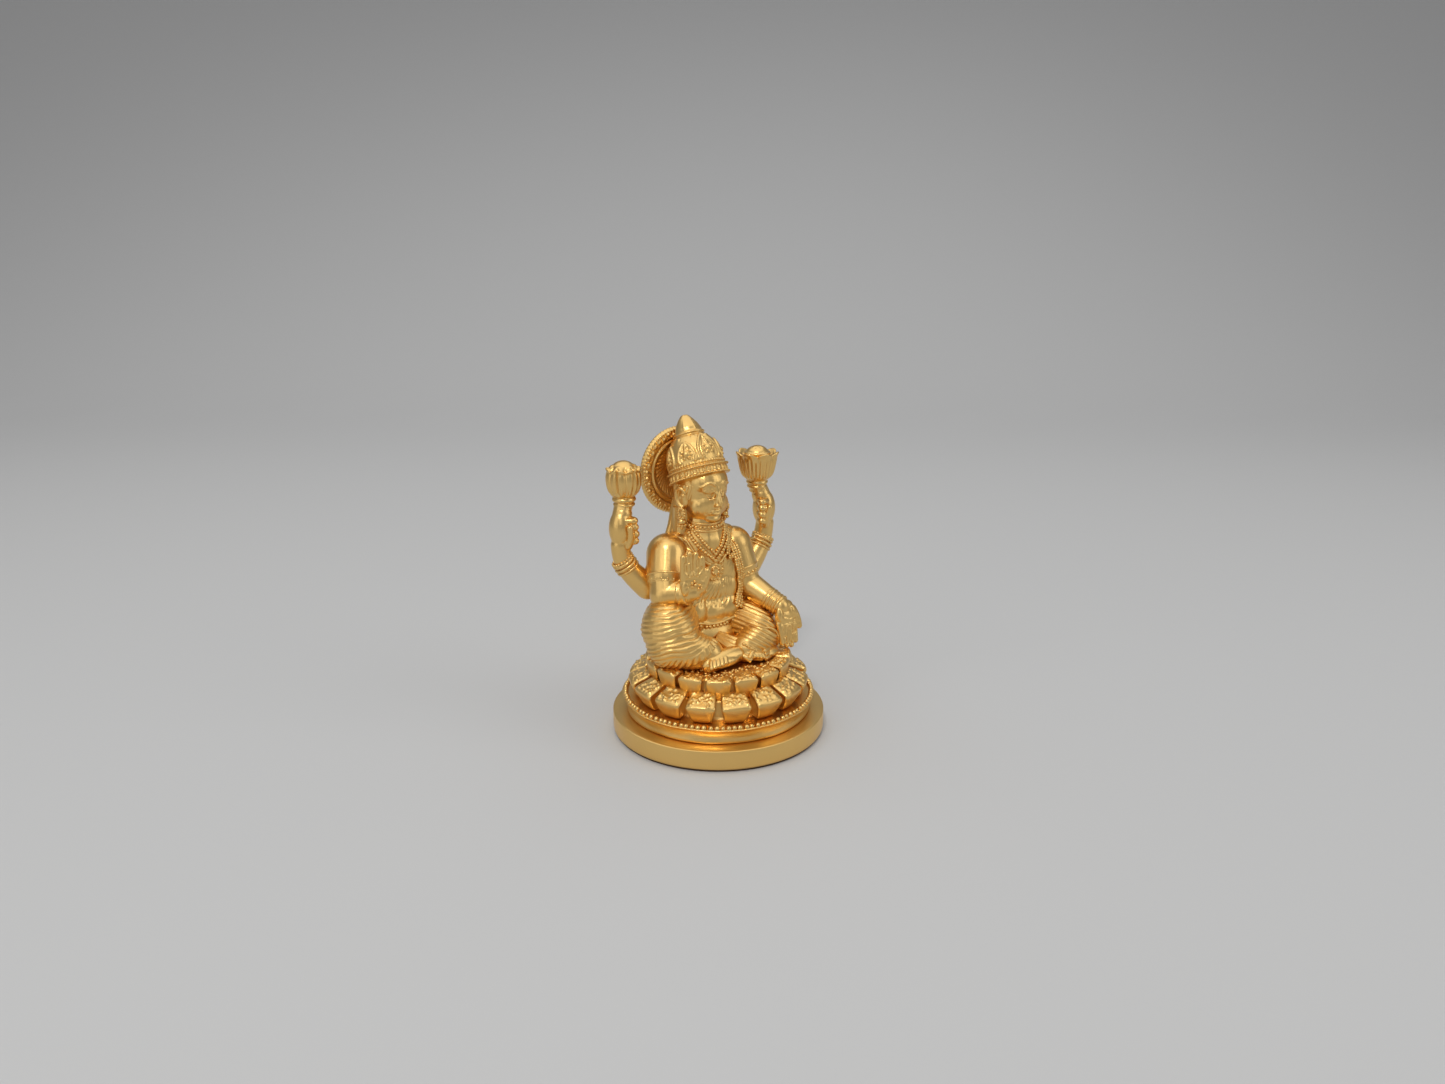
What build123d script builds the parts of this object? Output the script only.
"""Seated four-armed deity on a round lotus pedestal, a small gold-plated brass table ornament.

The figure faces -Y, its left side is +X and +Z is up. The origin is the centre of the resting face.
Pedestal, plinth and figure are stacked castings, drawn together by one screw from below. Head, arms,
hands, flowers, crown and halo are castings of their own, held in the body by round spigots.
"""

import os
from math import cos, radians, sin

from build123d import *

# ---- driving sizes, in millimetres and degrees

# plinth and pad
pad_thickness = 0.5
pad_inset = 0.6
plinth_radius = 25.0
plinth_height = 4.6
plinth_edge_fillet = 0.4
register_radius = 8.0  # round boss under the pedestal, let into the plinth
register_depth = 1.4

# lotus pedestal
rim_foot_radius = 21.6
rim_radius = 22.8
rim_height = 3.9
bead_radius = 0.55
lower_drum_radius = 17.0
lower_drum_height = 4.2
upper_drum_radius = 14.2
upper_drum_height = 4.4
petal_count = 16
petal_turn = 3.75  # the pedestal stands slightly turned against the figure
lower_petal_foot_radius = 19.0
lower_petal_lip_radius = 21.5
lower_petal_foot_width = 4.4
lower_petal_lip_width = 7.0
lower_petal_back_rise = 1.8  # how far a lower petal stands above its drum at the back
upper_petal_foot_radius = 15.9
upper_petal_lip_radius = 17.2
upper_petal_foot_width = 3.6
upper_petal_lip_width = 5.6
upper_petal_rise = 0.9

# screw
screw_radius = 2.0
screw_head_radius = 3.5
screw_head_height = 2.2
screw_grip = 3.6  # thread length inside the lap
socket_key_radius = 1.1
socket_key_depth = 1.2
screw_clearance = 0.25

# fits
spigot_clearance = 0.05

# lap and legs
lap_height = 6.4
lap_foot_half_width = 11.5
lap_foot_half_depth = 9.6
lap_foot_set_back = 1.8
lap_top_half_width = 7.6
lap_top_half_depth = 6.2
lap_top_set_back = 6.6
hip_half_span = 7.8
hip_set_back = 8.6
hip_lift = 6.4  # lifts are measured from the seat
right_knee_half_span = 14.3
right_knee_lift = 8.6
right_thigh_radius = 5.2
left_knee_half_span = 9.8
left_knee_lift = 6.2
left_thigh_radius = 4.8
knee_set_back = -0.8
calf_drop = 3.0  # calf axis below the thigh axis at the knee
calf_radius = 4.4
ankle_radius = 2.4
foot_radius = 2.1
toe_radius = 1.5
pleat_radius = 2.8

# torso
torso_height = 21.0
spine_set_back = 7.4
waist_half_width = 6.1
waist_half_depth = 4.9
chest_half_width = 8.2
chest_half_depth = 6.2
shoulder_half_width = 9.6
shoulder_depth = 4.8  # from the spine line to the front
collar_radius = 3.6
waist_spigot_radius = 2.4
waist_spigot_length = 3.0
ornament_thickness = 0.8
belt_width = 2.4
belt_lift = 0.3  # above the waist joint
necklace_width = 1.7
necklace_tilt = 38.0
sash_width = 1.8
sash_tilt = 42.0
pendant_radius = 2.3
pendant_drop = 6.2  # below the collar

# head, hair and crown
head_turn = 8.0  # the head looks slightly to the figure's left
head_set_back = 7.0
head_rise = 10.6  # head centre above the collar
head_radius = 5.8
head_half_height = 6.6
neck_radius = 3.1
neck_spigot_radius = 1.9
neck_spigot_length = 3.0
ear_radius = 1.4
earring_radius = 1.1
hair_radius = 3.6
crown_lean = 23.0
crown_band_start = 1.4  # distances along the crown's axis from the head centre
crown_shoulder = 4.6
crown_waist = 9.4
crown_end = 13.6
crown_band_thickness = 1.2  # proud of the head
crown_side_radius = 6.1
crown_end_radius = 3.5
finial_height = 4.5
finial_radius = 2.3
finial_spigot_radius = 0.9
finial_spigot_length = 2.0

# halo
halo_radius = 10.3
halo_rim_width = 2.2
halo_rim_depth = 1.7
halo_plate_thickness = 0.9
halo_gap = 9.9  # plate behind the head centre
halo_rise = 3.4  # halo centre above the head centre
halo_stem_radius = 1.6
halo_stem_start = 4.0

# front arms
shoulder_half_span = 9.2
shoulder_drop = 3.2  # below the collar
upper_arm_radius = 3.4
elbow_radius = 3.0
wrist_radius = 2.2
arm_spigot_radius = 1.1
arm_spigot_length = 4.5
arm_spigot_root = 1.0  # how far a spigot reaches back into its own shoulder
palm_width = 6.4
palm_thickness = 2.4
palm_length = 11.2
palm_fillet = 0.9
palm_corner = 2.4

# rear arms and the flowers that they hold
rear_shoulder_half_span = 8.2
rear_elbow_radius = 3.0
rear_wrist_radius = 2.4
fist_radius = 3.1
bangle_width = 1.2
bangle_thickness = 0.6
flower_half_span = 17.8
flower_set_back = 11.9
flower_level = 53.6  # foot of a flower above the underside
flower_collar_radius = 2.7
flower_collar_height = 1.8
flower_height = 8.4
bud_radius = 4.1
bloom_foot_radius = 2.6
bloom_lip_radius = 4.6
stem_radius = 1.3
stem_length = 4.0

# ---- levels worked out from the sizes

plinth_foot_z = pad_thickness
plinth_top_z = plinth_foot_z + plinth_height
rim_top_z = plinth_top_z + rim_height
lower_drum_z = rim_top_z + lower_drum_height
seat_z = lower_drum_z + upper_drum_height
waist_z = seat_z + lap_height
collar_z = waist_z + torso_height
head_z = collar_z + head_rise
halo_z = head_z + halo_rise
shoulder_z = collar_z - shoulder_drop
RIGHT, LEFT = -1, 1  # signs of X on the figure's own two sides


# ---- shapes used more than once


def arc_middle(centre, radius, lean, tip):
    """The middle of the arc closing one end of a limb's outline; tip is -1 at the start, 1 at the end."""
    x = lean + tip
    y = (1 - lean * lean) ** 0.5
    size = (x * x + y * y) ** 0.5
    return (centre + radius * x / size, radius * y / size)


def limb(start, end, start_radius, end_radius):
    """A round tapered limb with a ball at each end, turned about the line from start to end."""
    along = Vector(*end) - Vector(*start)
    length = along.length
    lean = (start_radius - end_radius) / length
    reach = (1 - lean * lean) ** 0.5
    first = (start_radius * lean, start_radius * reach)
    last = (length + end_radius * lean, end_radius * reach)
    with BuildPart() as made:
        with BuildSketch(Plane(origin=start, x_dir=along, z_dir=along.cross(Vector(0.31, 0.17, 0.93)))):
            with BuildLine():
                ThreePointArc((-start_radius, 0), arc_middle(0, start_radius, lean, -1), first)
                Line(first, last)
                ThreePointArc(last, arc_middle(length, end_radius, lean, 1), (length + end_radius, 0))
                Line((length + end_radius, 0), (-start_radius, 0))
            make_face()
        revolve(axis=Axis(start, tuple(along)))
    return made.part


def rod(start, direction, radius, length):
    """A plain round bar from a point along a direction."""
    with BuildPart() as made:
        with BuildSketch(Plane(origin=start, z_dir=direction)):
            Circle(radius)
        extrude(amount=length)
    return made.part


def ellipse_stack(sections):
    """A smooth body through ellipses given as (z, set back, half width, half depth)."""
    with BuildPart() as made:
        for z, set_back, half_width, half_depth in sections:
            with BuildSketch(Plane.XY.offset(z)):
                with Locations((0, set_back)):
                    Ellipse(half_width, half_depth)
        loft()
    return made.part


def turned(points, plane):
    """A solid turned about a plane's Z axis from (radius, height) points."""
    outline = Plane(origin=plane.origin, x_dir=plane.x_dir, z_dir=-plane.y_dir)
    with BuildPart() as made:
        with BuildSketch(outline):
            with BuildLine():
                Polyline(*points, close=True)
            make_face()
        revolve(axis=Axis(plane.origin, plane.z_dir))
    return made.part


def slab(centre, tilt_axis, tilt, width):
    """A wide flat slice through a point, tilted from level about a horizontal axis."""
    level = Plane(origin=centre).rotated(tuple(tilt * part for part in tilt_axis))
    with BuildPart() as made:
        with BuildSketch(level.offset(-width / 2)):
            Circle(plinth_radius)
        extrude(amount=width)
    return made.part


def carved(raw, *neighbours):
    """The largest solid left of a raw volume when its neighbours are taken out of it."""
    with BuildPart() as made:
        add(raw)
        for neighbour in neighbours:
            add(neighbour, mode=Mode.SUBTRACT)
    return made.part.solids().sort_by(SortBy.VOLUME)[-1]


# ---- pad, plinth and screw

with BuildPart() as foot_pad:
    with BuildSketch():
        Circle(plinth_radius - pad_inset)
    extrude(amount=pad_thickness)

with BuildPart() as plinth:
    with BuildSketch(Plane.XY.offset(plinth_foot_z)):
        Circle(plinth_radius)
    extrude(amount=plinth_height)
    fillet(plinth.edges().group_by(Axis.Z)[-1], plinth_edge_fillet)
    chamfer(plinth.edges().group_by(Axis.Z)[0], plinth_edge_fillet / 2)
    with BuildSketch(Plane.XY.offset(plinth_top_z)):
        Circle(register_radius + spigot_clearance)
    extrude(amount=-register_depth, mode=Mode.SUBTRACT)
    with BuildSketch(Plane.XY.offset(plinth_foot_z)):
        Circle(screw_head_radius + screw_clearance)
    extrude(amount=screw_head_height, mode=Mode.SUBTRACT)
    with BuildSketch(Plane.XY.offset(plinth_foot_z)):
        Circle(screw_radius + screw_clearance)
    extrude(amount=plinth_height, mode=Mode.SUBTRACT)

screw_seat_z = plinth_foot_z + screw_head_height
with BuildPart() as assembly_screw:
    with BuildSketch(Plane.XY.offset(plinth_foot_z)):
        Circle(screw_head_radius)
    extrude(amount=screw_head_height)
    with BuildSketch(Plane.XY.offset(screw_seat_z)):
        Circle(screw_radius)
    extrude(amount=seat_z + screw_grip - screw_seat_z)
    with BuildSketch(Plane.XY.offset(plinth_foot_z)):
        RegularPolygon(socket_key_radius, 6)
    extrude(amount=socket_key_depth, mode=Mode.SUBTRACT)

# ---- lotus pedestal

with BuildPart() as pedestal:
    with BuildSketch(Plane.XZ):
        with BuildLine():
            Line((0, plinth_top_z), (rim_foot_radius, plinth_top_z))
            ThreePointArc(
                (rim_foot_radius, plinth_top_z),
                ((rim_foot_radius + rim_radius) / 2 - 0.3, plinth_top_z + rim_height / 2 + 0.2),
                (rim_radius, rim_top_z),
            )
            Polyline(
                (rim_radius, rim_top_z),
                (lower_drum_radius, rim_top_z),
                (lower_drum_radius, lower_drum_z),
                (upper_drum_radius, lower_drum_z),
                (upper_drum_radius, seat_z),
                (0, seat_z),
                (0, plinth_top_z),
            )
        make_face()
    revolve(axis=Axis.Z)
    with BuildSketch(Plane.XY.offset(plinth_top_z)):
        Circle(register_radius)
    extrude(amount=-register_depth)
    with BuildSketch(Plane.XY.offset(plinth_top_z - register_depth)):
        Circle(screw_radius + screw_clearance)
    extrude(amount=seat_z - plinth_top_z + register_depth, mode=Mode.SUBTRACT)

bead_ring_radius = rim_radius - 1.5 * bead_radius
with BuildPart() as bead_ring:
    with BuildSketch(Plane.XZ):
        with BuildLine():
            CenterArc((bead_ring_radius, rim_top_z), bead_radius, 0, 180)
            Line((bead_ring_radius - bead_radius, rim_top_z), (bead_ring_radius + bead_radius, rim_top_z))
        make_face()
    revolve(axis=Axis.Z)


def petal_wedge(inner_radius, foot, lip, foot_z, lip_z, back_z):
    """One thick petal pointing along -Y; foot and lip are each given as (radius, width)."""
    with BuildPart() as made:
        for (radius, width), z in ((foot, foot_z), (lip, back_z)):
            with BuildSketch(Plane.XY.offset(z)):
                with Locations((0, -(radius + inner_radius / 2) / 2)):
                    Rectangle(width, radius - inner_radius / 2)
        loft()
        with BuildSketch(Plane.XY.offset(foot_z)):
            Circle(inner_radius)
        extrude(amount=back_z - foot_z, mode=Mode.SUBTRACT)
        with BuildSketch(Plane.YZ.offset(-lip[1])):
            with BuildLine():
                Polyline(
                    (-lip[0] - 1, lip_z - (back_z - lip_z) / (lip[0] - inner_radius)),
                    (-inner_radius, back_z),
                    (-inner_radius + 3, back_z + 3),
                    (-lip[0] - 1, back_z + 3),
                    close=True,
                )
            make_face()
        extrude(amount=2 * lip[1], mode=Mode.SUBTRACT)
    return made.part


lower_petal = petal_wedge(
    lower_drum_radius,
    (lower_petal_foot_radius, lower_petal_foot_width),
    (lower_petal_lip_radius, lower_petal_lip_width),
    rim_top_z,
    lower_drum_z,
    lower_drum_z + lower_petal_back_rise,
)
with BuildPart() as lower_petals:
    with PolarLocations(0, petal_count, start_angle=petal_turn):
        add(lower_petal)

half_pitch = 180 / petal_count
upper_petal = petal_wedge(
    upper_drum_radius,
    (upper_petal_foot_radius, upper_petal_foot_width),
    (upper_petal_lip_radius, upper_petal_lip_width),
    lower_drum_z,
    seat_z + upper_petal_rise,
    seat_z + upper_petal_rise + 0.1,
)
with BuildPart() as upper_petals:
    with PolarLocations(0, petal_count, start_angle=petal_turn + half_pitch):
        add(upper_petal)
    add(lower_petals.part, mode=Mode.SUBTRACT)

# ---- lap, legs and feet

with BuildPart() as under_seat:
    with BuildSketch(Plane.XY.offset(seat_z)):
        Circle(2 * plinth_radius)
    extrude(amount=-plinth_radius)

with BuildPart() as lap:
    add(
        ellipse_stack(
            [
                (seat_z, lap_foot_set_back, lap_foot_half_width, lap_foot_half_depth),
                (waist_z, lap_top_set_back, lap_top_half_width, lap_top_half_depth),
            ]
        )
    )
    with BuildSketch(Plane.XY.offset(seat_z)):
        Circle(screw_radius)
    extrude(amount=screw_grip, mode=Mode.SUBTRACT)
    with BuildSketch(Plane.XY.offset(waist_z)):
        with Locations((0, spine_set_back)):
            Circle(waist_spigot_radius + spigot_clearance)
    extrude(amount=-waist_spigot_length - spigot_clearance, mode=Mode.SUBTRACT)


def torso_shape(extra):
    """The trunk from waist to collar, made larger all round by extra."""
    return ellipse_stack(
        [
            (z, set_back, half_width + extra, half_depth + extra)
            for z, set_back, half_width, half_depth in (
                (waist_z, spine_set_back - 0.4, waist_half_width + 0.6, waist_half_depth + 0.3),
                (waist_z + 0.31 * torso_height, spine_set_back - 1.0, waist_half_width, waist_half_depth),
                (waist_z + 0.66 * torso_height, spine_set_back - 0.7, chest_half_width, chest_half_depth),
                (waist_z + 0.89 * torso_height, spine_set_back + 0.4, shoulder_half_width, shoulder_depth),
                (collar_z, spine_set_back + 0.2, collar_radius, collar_radius),
            )
        ]
    )


raw_torso = torso_shape(0)
dressed_torso = torso_shape(ornament_thickness)


def folded_leg(side, knee_half_span, knee_lift, thigh_radius, ankle):
    """Thigh above calf, folded at the knee, with a flat underside on the seat."""
    hip = (side * hip_half_span, hip_set_back, seat_z + hip_lift)
    knee = (side * knee_half_span, knee_set_back, seat_z + knee_lift)
    shin_top = (side * knee_half_span, knee_set_back, seat_z + knee_lift - calf_drop)
    with BuildPart() as made:
        add(limb(hip, knee, thigh_radius, thigh_radius))
        add(limb(shin_top, ankle, calf_radius, ankle_radius))
    return made.part


right_ankle = (-3.0, -6.2, seat_z + ankle_radius + 0.2)
left_ankle = (4.6, -6.4, seat_z + ankle_radius + 0.9)
right_sole = ((1.4, -5.4, seat_z + foot_radius), (9.0, -7.8, seat_z + toe_radius))
left_sole = ((2.6, -8.2, seat_z + foot_radius + 0.6), (-5.2, -9.6, seat_z + toe_radius))

with BuildPart() as right_leg:
    raw = folded_leg(RIGHT, right_knee_half_span, right_knee_lift, right_thigh_radius, right_ankle)
    add(carved(raw, lap.part, dressed_torso, under_seat.part))

with BuildPart() as left_leg:
    raw = folded_leg(LEFT, left_knee_half_span, left_knee_lift, left_thigh_radius, left_ankle)
    add(carved(raw, lap.part, dressed_torso, under_seat.part))

with BuildPart() as left_foot:
    raw = limb(*left_sole, foot_radius, toe_radius)
    add(carved(raw, under_seat.part, lap.part, right_leg.part, left_leg.part))

with BuildPart() as right_foot:
    raw = limb(*right_sole, foot_radius, toe_radius)
    legs = (right_leg.part, left_leg.part, left_foot.part)
    add(carved(raw, under_seat.part, lap.part, *legs))

with BuildPart() as pleats:
    raw = limb((-0.5, -1.8, waist_z - 0.6), (2.2, -6.4, seat_z + 4.6), 0.7 * pleat_radius, pleat_radius)
    feet = (left_foot.part, right_foot.part)
    add(carved(raw, under_seat.part, lap.part, dressed_torso, right_leg.part, left_leg.part, *feet))

# ---- torso and its ornaments

head_plane = Plane(origin=(0, head_set_back, head_z)).rotated((0, 0, head_turn))
chest_front = spine_set_back - chest_half_depth
pendant_z = collar_z - pendant_drop
front_shoulder_y = spine_set_back + 0.6
rear_shoulder_y = spine_set_back + 2.4
rear_shoulder_z = shoulder_z - 2.6
waist_middle = (0, spine_set_back, waist_z + belt_lift + belt_width / 2)



def front_shoulder(side):
    """The middle of a front arm's shoulder."""
    return (side * shoulder_half_span, front_shoulder_y, shoulder_z)


def rear_shoulder(side):
    """The middle of a rear arm's shoulder."""
    return (side * rear_shoulder_half_span, rear_shoulder_y, rear_shoulder_z)


def arm_spigot(side, shoulder, extra):
    """The bar that runs from inside a shoulder into the chest, made larger by extra for its bore."""
    x, y, z = shoulder
    start = (x + side * (arm_spigot_root + extra), y, z)
    return rod(start, (-side, 0, 0), arm_spigot_radius + extra, arm_spigot_length + 2 * extra)


with BuildPart() as torso:
    add(carved(raw_torso, right_leg.part, left_leg.part))
    with BuildSketch(Plane.XY.offset(waist_z)):
        with Locations((0, spine_set_back)):
            Circle(waist_spigot_radius)
    extrude(amount=-waist_spigot_length)
    with BuildSketch(Plane.XY.offset(collar_z)):
        with Locations((0, head_set_back)):
            Circle(neck_spigot_radius + spigot_clearance)
    extrude(amount=-neck_spigot_length - spigot_clearance, mode=Mode.SUBTRACT)
    for side in (RIGHT, LEFT):
        for shoulder in (front_shoulder(side), rear_shoulder(side)):
            add(arm_spigot(side, shoulder, spigot_clearance), mode=Mode.SUBTRACT)

with BuildPart() as belt:
    add(dressed_torso)
    add(slab(waist_middle, (1, 0, 0), 0, belt_width), mode=Mode.INTERSECT)
    add(raw_torso, mode=Mode.SUBTRACT)
    add(right_leg.part, mode=Mode.SUBTRACT)
    add(left_leg.part, mode=Mode.SUBTRACT)

with BuildPart() as necklace:
    add(dressed_torso)
    neck_foot = (0, spine_set_back, collar_z - 2.9)
    add(slab(neck_foot, (1, 0, 0), necklace_tilt, necklace_width), mode=Mode.INTERSECT)
    add(raw_torso, mode=Mode.SUBTRACT)
    for side in (RIGHT, LEFT):
        add(arm_spigot(side, front_shoulder(side), spigot_clearance), mode=Mode.SUBTRACT)

with BuildPart() as sash:
    add(dressed_torso)
    heart = (0, spine_set_back, waist_z + 0.56 * torso_height)
    add(slab(heart, (0, 1, 0), -sash_tilt, sash_width), mode=Mode.INTERSECT)
    add(raw_torso, mode=Mode.SUBTRACT)
    for side in (RIGHT, LEFT):
        add(arm_spigot(side, front_shoulder(side), spigot_clearance), mode=Mode.SUBTRACT)
    add(belt.part, mode=Mode.SUBTRACT)
    add(necklace.part, mode=Mode.SUBTRACT)

with BuildPart() as pendant:
    raw = rod((0, chest_front - 2 * ornament_thickness, pendant_z), (0, 1, 0), pendant_radius, 2.6)
    add(carved(raw, raw_torso, necklace.part, sash.part))

# ---- head, hair, earrings, crown and halo

crown_plane = head_plane.rotated((-crown_lean, 0, 0))
neck_foot_z = collar_z - head_z

with BuildPart() as head:
    with BuildSketch(Plane(origin=head_plane.origin, x_dir=head_plane.x_dir, z_dir=-head_plane.y_dir)):
        Ellipse(head_radius, head_half_height)
        with Locations((head_radius, 0)):
            Rectangle(2 * head_radius, 3 * head_half_height, mode=Mode.INTERSECT)
    revolve(axis=Axis(head_plane.origin, (0, 0, 1)))
    add(rod((0, head_set_back, collar_z), (0, 0, 1), neck_radius, head_rise - 1))
    add(rod((0, head_set_back, collar_z - neck_spigot_length), (0, 0, 1), neck_spigot_radius, head_rise))
    for side in (RIGHT, LEFT):
        ear = head_plane.from_local_coords((side * (head_radius - 0.2), 0.8, -0.9))
        add(limb(ear, ear + Vector(0, 0, -1.6), ear_radius, 0.8 * ear_radius))

with BuildPart() as hair:
    crown_of_nape = head_plane.from_local_coords((0, 4.4, -1.2))
    nape = head_plane.from_local_coords((0, 3.2, -7.6))
    raw = limb(crown_of_nape, nape, hair_radius, hair_radius)
    add(carved(raw, head.part, dressed_torso, torso.part))

with BuildPart() as earrings:
    for side in (RIGHT, LEFT):
        hook = head_plane.from_local_coords((side * (head_radius - 0.3), 0.5, -4.7))
        raw = limb(hook, hook + Vector(0, 0, -1.2), earring_radius, earring_radius)
        add(carved(raw, head.part, hair.part))

crown_band_radius = head_radius + crown_band_thickness
with BuildPart() as crown:
    outline = [
        (0, crown_band_start),
        (crown_band_radius, crown_band_start),
        (crown_band_radius, crown_band_start + 2.2),
        (crown_side_radius, crown_shoulder),
        (crown_side_radius, crown_waist),
        (crown_end_radius, crown_end),
        (0, crown_end),
    ]
    add(carved(turned(outline, crown_plane), head.part, hair.part))
    bore_foot = crown_plane.from_local_coords((0, 0, crown_end - finial_spigot_length - spigot_clearance))
    bore_radius = finial_spigot_radius + spigot_clearance
    bore_length = finial_spigot_length + finial_height
    add(rod(bore_foot, crown_plane.z_dir, bore_radius, bore_length), mode=Mode.SUBTRACT)

with BuildPart() as crown_finial:
    outline = [
        (0, crown_end - finial_spigot_length),
        (finial_spigot_radius, crown_end - finial_spigot_length),
        (finial_spigot_radius, crown_end),
        (finial_radius, crown_end),
        (0.9 * finial_radius, crown_end + 1.2),
        (0.25 * finial_radius, crown_end + finial_height),
        (0, crown_end + finial_height),
    ]
    add(turned(outline, crown_plane))

halo_front = head_plane.from_local_coords((0, halo_gap, halo_rise))
halo_plane = Plane(origin=halo_front, x_dir=head_plane.x_dir, z_dir=head_plane.y_dir)

with BuildPart() as halo_stem:
    start = head_plane.from_local_coords((0, halo_stem_start, halo_rise - 1.2))
    raw = rod(start, head_plane.y_dir, halo_stem_radius, halo_gap - halo_stem_start)
    add(carved(raw, head.part, hair.part, crown.part))

with BuildPart() as halo:
    with BuildSketch(halo_plane):
        Circle(halo_radius)
    extrude(amount=halo_plate_thickness)
    with BuildSketch(halo_plane):
        Circle(halo_radius)
        Circle(halo_radius - halo_rim_width, mode=Mode.SUBTRACT)
    extrude(amount=-(halo_rim_depth - halo_plate_thickness))
    add(crown.part, mode=Mode.SUBTRACT)
    add(hair.part, mode=Mode.SUBTRACT)

# ---- front arms and open hands


def bangle(arm, centre, direction, arm_radius):
    """A flat band round an arm."""
    start = Vector(*centre) - Vector(*direction).normalized() * (bangle_width / 2)
    return carved(rod(start, direction, arm_radius + bangle_thickness, bangle_width), arm)


def bent_arm(shoulder, elbow, wrist, shoulder_radius, elbow_radius, wrist_radius):
    """Upper arm and forearm of round tapered section."""
    with BuildPart() as made:
        add(limb(shoulder, elbow, shoulder_radius, elbow_radius))
        add(limb(elbow, wrist, elbow_radius, wrist_radius))
    return made.part


def open_hand(centre, length):
    """A flat upright hand facing forward, with rounded edges."""
    with BuildPart() as made:
        with BuildSketch(Plane.XZ.offset(-centre[1] - palm_thickness / 2)):
            with Locations((centre[0], centre[2])):
                RectangleRounded(palm_width, length, palm_corner)
        extrude(amount=palm_thickness)
        fillet(made.edges().group_by(Axis.Y)[0] + made.edges().group_by(Axis.Y)[-1], palm_fillet)
    return made.part


body = (raw_torso, dressed_torso, right_leg.part, left_leg.part, lap.part)
right_elbow = (-12.6, 3.4, waist_z + 9.8)
right_wrist = (-9.0, -0.6, waist_z + 10.6)
left_elbow = (12.4, 4.4, waist_z + 8.0)
left_wrist = (14.8, -2.9, waist_z + 5.0)
right_palm_centre = (-8.2, -2.6, waist_z + 9.2 + palm_length / 2)
left_tip_z = seat_z + upper_petal_rise + 0.6
left_palm_length = waist_z + 5.4 - left_tip_z
left_palm_centre = (15.6, -5.9, left_tip_z + left_palm_length / 2)

with BuildPart() as right_palm:
    add(carved(open_hand(right_palm_centre, palm_length), dressed_torso, right_leg.part, pendant.part))

with BuildPart() as left_hand:
    add(carved(open_hand(left_palm_centre, left_palm_length), left_leg.part, upper_petals.part))

with BuildPart() as front_right_arm:
    shoulder = front_shoulder(RIGHT)
    raw = bent_arm(shoulder, right_elbow, right_wrist, upper_arm_radius, elbow_radius, wrist_radius)
    add(carved(raw, *body, right_palm.part, arm_spigot(RIGHT, rear_shoulder(RIGHT), spigot_clearance)))
    add(arm_spigot(RIGHT, shoulder, 0))

with BuildPart() as front_left_arm:
    shoulder = front_shoulder(LEFT)
    raw = bent_arm(shoulder, left_elbow, left_wrist, upper_arm_radius, elbow_radius, wrist_radius)
    add(carved(raw, *body, left_hand.part, arm_spigot(LEFT, rear_shoulder(LEFT), spigot_clearance)))
    add(arm_spigot(LEFT, shoulder, 0))

# ---- rear arms and the flowers

front_arms = {RIGHT: front_right_arm.part, LEFT: front_left_arm.part}


def rear_arm(side):
    """A raised rear arm with its closed hand, bored for the flower's stem."""
    shoulder = rear_shoulder(side)
    elbow = (side * 13.4, spine_set_back + 2.2, waist_z + 9.6)
    wrist = (side * 19.0, flower_set_back - 0.6, waist_z + 17.4)
    fist = ((side * 19.4, flower_set_back - 1.2, 45.2), (side * 18.8, flower_set_back - 1.0, 49.8))
    with BuildPart() as made:
        add(bent_arm(shoulder, elbow, wrist, rear_elbow_radius, rear_elbow_radius, rear_wrist_radius))
        add(limb(wrist, fist[0], rear_wrist_radius, fist_radius))
        add(limb(*fist, fist_radius, fist_radius))
    with BuildPart() as finished:
        add(carved(made.part, *body, front_arms[side]))
        add(arm_spigot(side, shoulder, 0))
        add(flower_stem(side, spigot_clearance), mode=Mode.SUBTRACT)
    return finished.part


def flower_foot(side):
    """Where a flower's collar starts."""
    return (side * flower_half_span, flower_set_back, flower_level)


def flower_stem(side, extra):
    """The stem that runs from a flower's foot down into the closed hand."""
    x, y, z = flower_foot(side)
    return rod((x, y, z - stem_length - extra), (0, 0, 1), stem_radius + extra, stem_length + extra)


def flower(side, body_points):
    """Stem, collar and the flower's own turned body."""
    upright = Plane(origin=flower_foot(side))
    collar = [(0, 0), (flower_collar_radius, 0), (flower_collar_radius, flower_collar_height)]
    with BuildPart() as made:
        add(turned(collar + body_points, upright))
        add(flower_stem(side, 0))
    return made.part


flower_top = flower_collar_height + flower_height

with BuildPart() as rear_right_arm:
    add(rear_arm(RIGHT))

with BuildPart() as rear_left_arm:
    add(rear_arm(LEFT))

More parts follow.
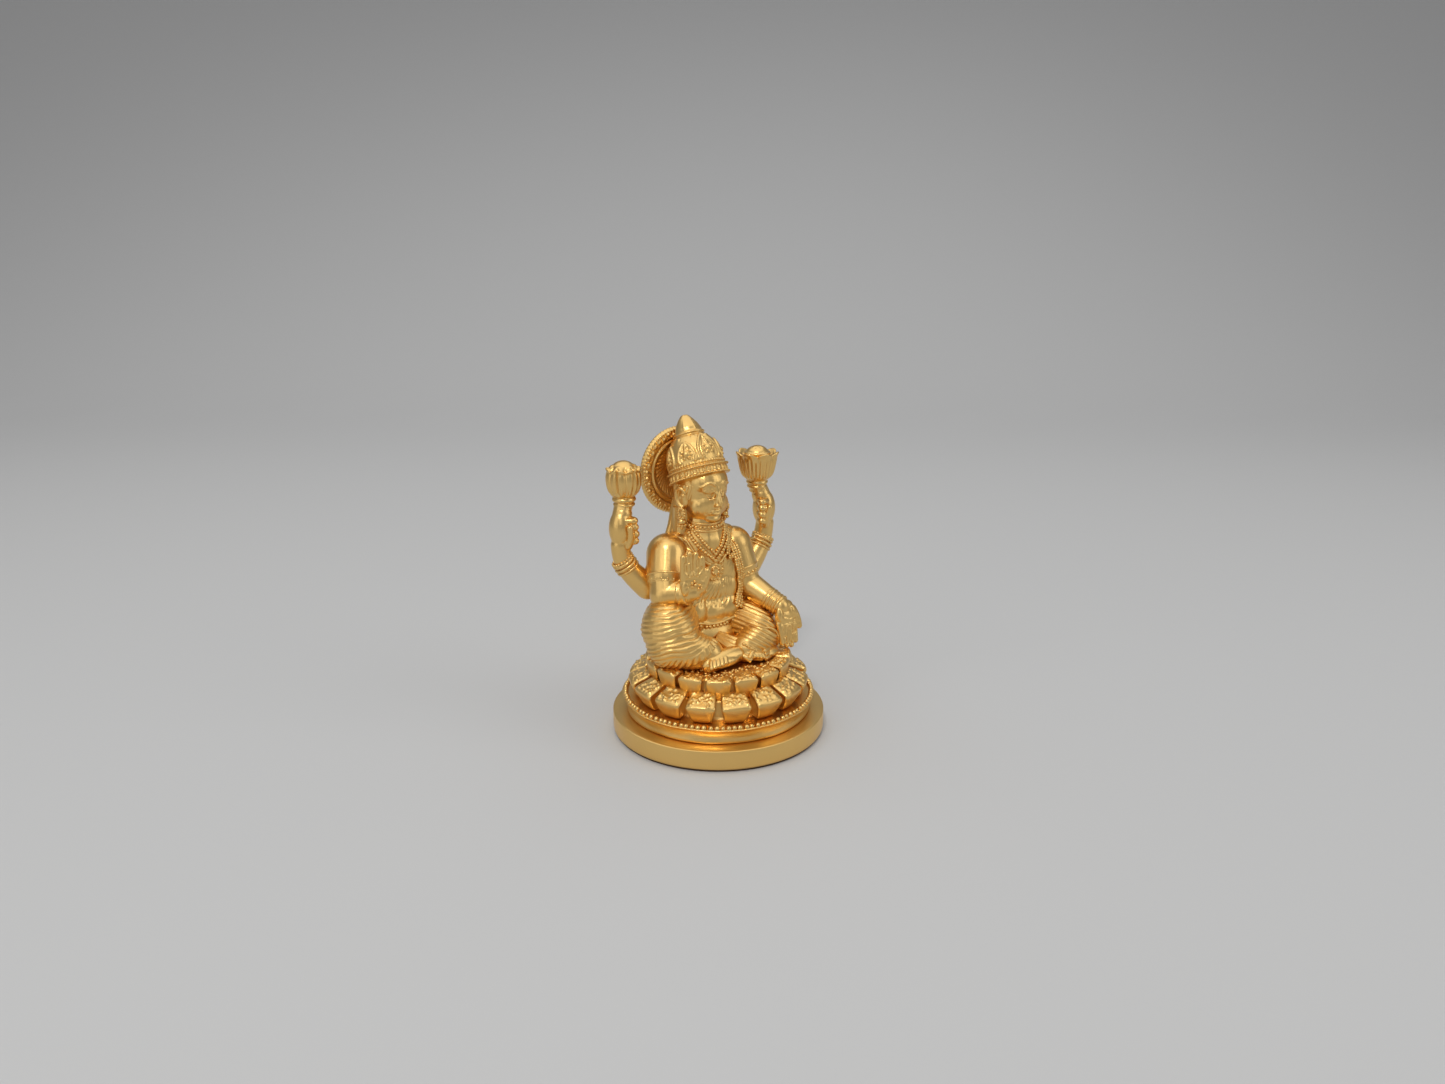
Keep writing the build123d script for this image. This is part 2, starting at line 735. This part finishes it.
with BuildPart() as lotus_bud_right:
    raw = flower(
        RIGHT,
        [
            (0.8 * bud_radius, flower_collar_height + 0.15 * flower_height),
            (bud_radius, flower_collar_height + 0.45 * flower_height),
            (0.9 * bud_radius, flower_collar_height + 0.75 * flower_height),
            (0.5 * bud_radius, flower_top),
            (0, flower_top),
        ],
    )
    add(carved(raw, rear_right_arm.part, halo.part))

with BuildPart() as lotus_bloom_left:
    raw = flower(
        LEFT,
        [
            (bloom_foot_radius, flower_collar_height + 0.2 * flower_height),
            (bloom_lip_radius, flower_collar_height + 0.75 * flower_height),
            (0.6 * bloom_lip_radius, flower_top),
            (0, flower_top),
        ],
    )
    add(carved(raw, rear_left_arm.part))

with BuildPart() as bangles:
    for side, arm in ((RIGHT, rear_right_arm.part), (LEFT, rear_left_arm.part)):
        centre = (side * 17.4, flower_set_back - 1.1, waist_z + 15.2)
        add(bangle(arm, centre, (side * 5.6, 1.7, 7.8), rear_wrist_radius + 0.15))

pieces = {
    "foot_pad": foot_pad,
    "plinth": plinth,
    "assembly_screw": assembly_screw,
    "pedestal": pedestal,
    "bead_ring": bead_ring,
    "lower_petals": lower_petals,
    "upper_petals": upper_petals,
    "lap": lap,
    "right_leg": right_leg,
    "left_leg": left_leg,
    "right_foot": right_foot,
    "left_foot": left_foot,
    "pleats": pleats,
    "torso": torso,
    "belt": belt,
    "necklace": necklace,
    "sash": sash,
    "pendant": pendant,
    "head": head,
    "hair": hair,
    "earrings": earrings,
    "crown": crown,
    "crown_finial": crown_finial,
    "halo_stem": halo_stem,
    "halo": halo,
    "right_palm": right_palm,
    "left_hand": left_hand,
    "front_right_arm": front_right_arm,
    "front_left_arm": front_left_arm,
    "rear_right_arm": rear_right_arm,
    "rear_left_arm": rear_left_arm,
    "lotus_bud_right": lotus_bud_right,
    "lotus_bloom_left": lotus_bloom_left,
    "bangles": bangles,
}
os.makedirs("parts", exist_ok=True)
for label, piece in pieces.items():
    piece.part.label = label
    export_step(piece.part, "parts/" + label + ".step")
